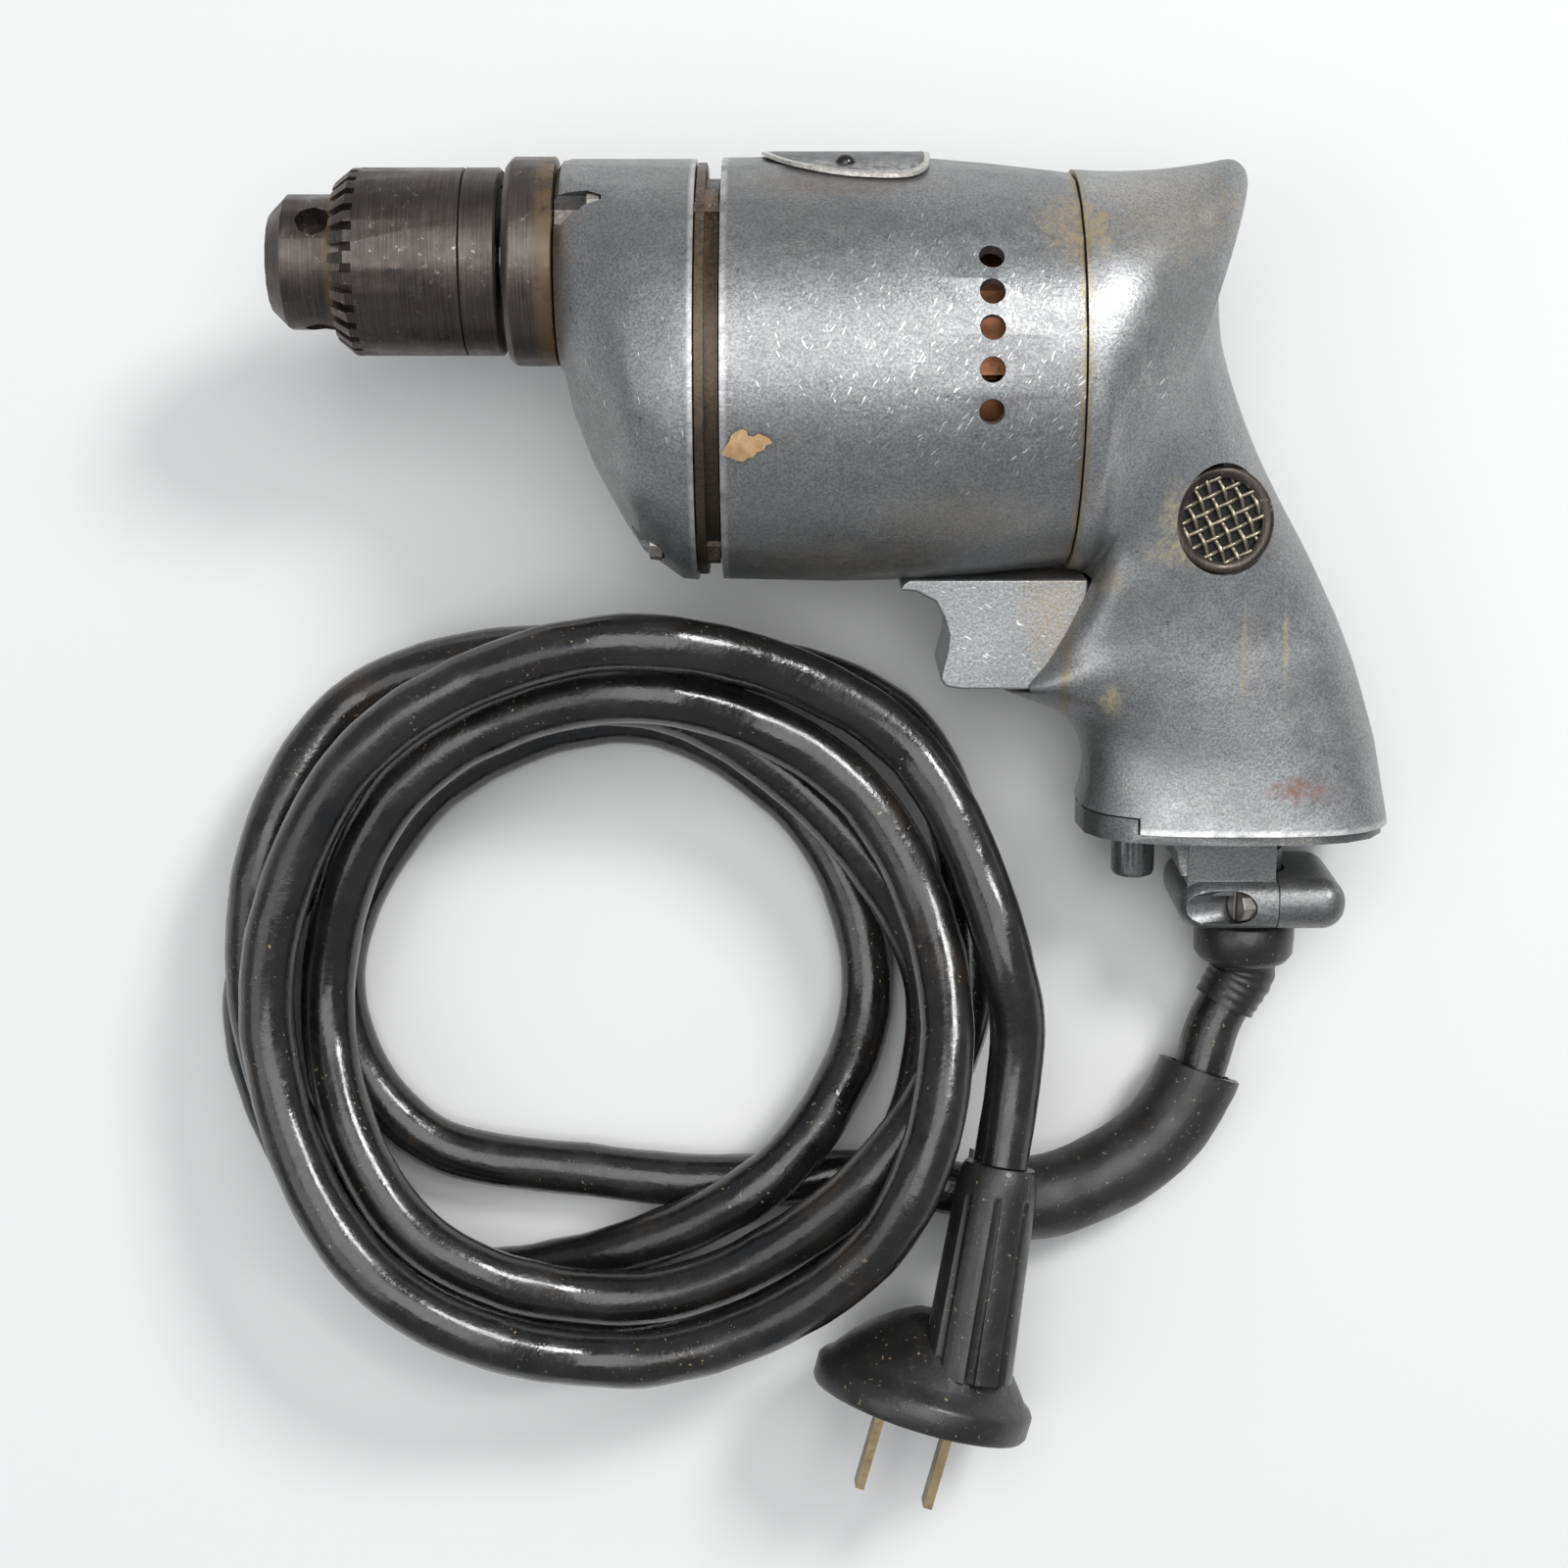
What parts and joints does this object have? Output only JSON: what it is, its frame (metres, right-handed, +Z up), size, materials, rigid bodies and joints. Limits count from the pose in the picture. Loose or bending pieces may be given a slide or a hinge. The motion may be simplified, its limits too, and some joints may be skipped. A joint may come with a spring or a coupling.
{
  "type": "electric drill",
  "caption": "Pistol-grip corded hand drill in bare cast metal with a keyed jaw chuck, gear case, trigger, vented grip, cord clamp, coiled lead and flat-blade plug.",
  "frame": {"origin": "on the bench, under the middle of the box round the drill itself without its free lead and plug", "axes": "+X from the chuck back along the motor axis, +Y from the grip's foot towards the barrel's top, +Z up from the bench"},
  "size_m": [0.212, 0.2388, 0.0732],
  "materials": {
    "cast_body": "satin, oxidised and scratched casting",
    "worn_cast": "worn casting",
    "gunmetal": "dark browned steel",
    "steel": "plain turned steel",
    "bronze": "sintered bronze",
    "copper": "varnished copper",
    "laminate": "stacked sheet",
    "brass": "tarnished brass",
    "vent_mesh": "dirty woven wire",
    "carbon": "pressed carbon",
    "phenolic": "moulded brown",
    "cord_rubber": "aged glossy rubber",
    "dull_rubber": "dull worn rubber"
  },
  "bodies": {
    "drill_body": {"gear_case": "cast_body", "gear_plate": "cast_body", "bearing_collar": "gunmetal", "front_bearing": "steel", "rear_spindle_bush": "bronze", "intermediate_pin": "steel", "armature_front_bearing": "steel", "armature_rear_bearing": "steel", "field_core": "laminate", "field_coil_upper": "copper", "field_coil_lower": "copper", "motor_casing": "cast_body", "rear_housing": "cast_body", "brush_ring": "phenolic", "brush_holder_upper": "brass", "brush_holder_lower": "brass", "carbon_brush_upper": "carbon", "carbon_brush_lower": "carbon", "switch_body": "phenolic", "base_cap": "cast_body", "cord_clamp_cap": "cast_body", "clamp_screw_1": "steel", "clamp_screw_2": "steel", "base_cap_screw": "steel", "gear_case_screw_1": "steel", "gear_case_screw_2": "steel", "gear_case_screw_3": "steel", "gear_case_screw_4": "steel", "vent_screen_left": "vent_mesh", "vent_screen_right": "vent_mesh", "strain_relief_boot": "dull_rubber", "cord_guard": "dull_rubber", "cord_lead": "cord_rubber", "cord_coil": "cord_rubber", "plug_body": "dull_rubber", "plug_blade_1": "brass", "plug_blade_2": "brass"},
    "chuck": {"chuck_body": "gunmetal", "spindle": "steel", "spindle_gear": "steel"},
    "sleeve": {"chuck_sleeve": "gunmetal", "chuck_nut": "steel"},
    "jaw_1": {"chuck_jaw_1": "steel"},
    "jaw_2": {"chuck_jaw_2": "steel"},
    "jaw_3": {"chuck_jaw_3": "steel"},
    "intermediate": {"intermediate_gear": "steel"},
    "armature": {"armature_shaft": "steel", "armature_core": "laminate", "armature_winding_front": "copper", "armature_winding_rear": "copper", "commutator": "copper", "cooling_fan": "worn_cast"},
    "trigger": {"trigger": "worn_cast"}
  },
  "joints": [
    {"name": "chuck_spin", "type": "hinge", "parent": "drill_body", "child": "chuck", "pos_m": [-0.07135, 0.05724, 0.04117], "axis": [1, 0, 0], "continuous": true},
    {"name": "intermediate_spin", "type": "hinge", "parent": "drill_body", "child": "intermediate", "pos_m": [-0.03335, 0.04199, 0.05073], "axis": [1, 0, 0], "continuous": true},
    {"name": "armature_spin", "type": "hinge", "parent": "drill_body", "child": "armature", "pos_m": [-0.00135, 0.03922, 0.0366], "axis": [1, 0, 0], "continuous": true},
    {"name": "sleeve_turn", "type": "hinge", "parent": "chuck", "child": "sleeve", "pos_m": [-0.07135, 0.05724, 0.04117], "axis": [1, 0, 0], "range_deg": [0, 2519]},
    {"name": "jaw_1_slide", "type": "slide", "parent": "chuck", "child": "jaw_1", "axis": [-0.9659, 0.138, -0.2189], "range_m": [0, 0.0095]},
    {"name": "jaw_2_slide", "type": "slide", "parent": "chuck", "child": "jaw_2", "axis": [-0.9659, 0.1206, 0.229], "range_m": [0, 0.0095]},
    {"name": "jaw_3_slide", "type": "slide", "parent": "chuck", "child": "jaw_3", "axis": [-0.9659, -0.2586, -0.0101], "range_m": [0, 0.0095]},
    {"name": "trigger_slide", "type": "slide", "parent": "drill_body", "child": "trigger", "axis": [1, 0, 0], "range_m": [0, 0.005], "stiffness_N_per_m": 800, "springref_m": -0.003}
  ],
  "couplings": [
    {"joint": "intermediate_spin", "follows": "chuck_spin", "ratio": -2.75},
    {"joint": "armature_spin", "follows": "chuck_spin", "ratio": 9.625},
    {"joint": "jaw_1_slide", "follows": "sleeve_turn", "m_per_rad": 0.000216},
    {"joint": "jaw_2_slide", "follows": "sleeve_turn", "m_per_rad": 0.000216},
    {"joint": "jaw_3_slide", "follows": "sleeve_turn", "m_per_rad": 0.000216}
  ]
}
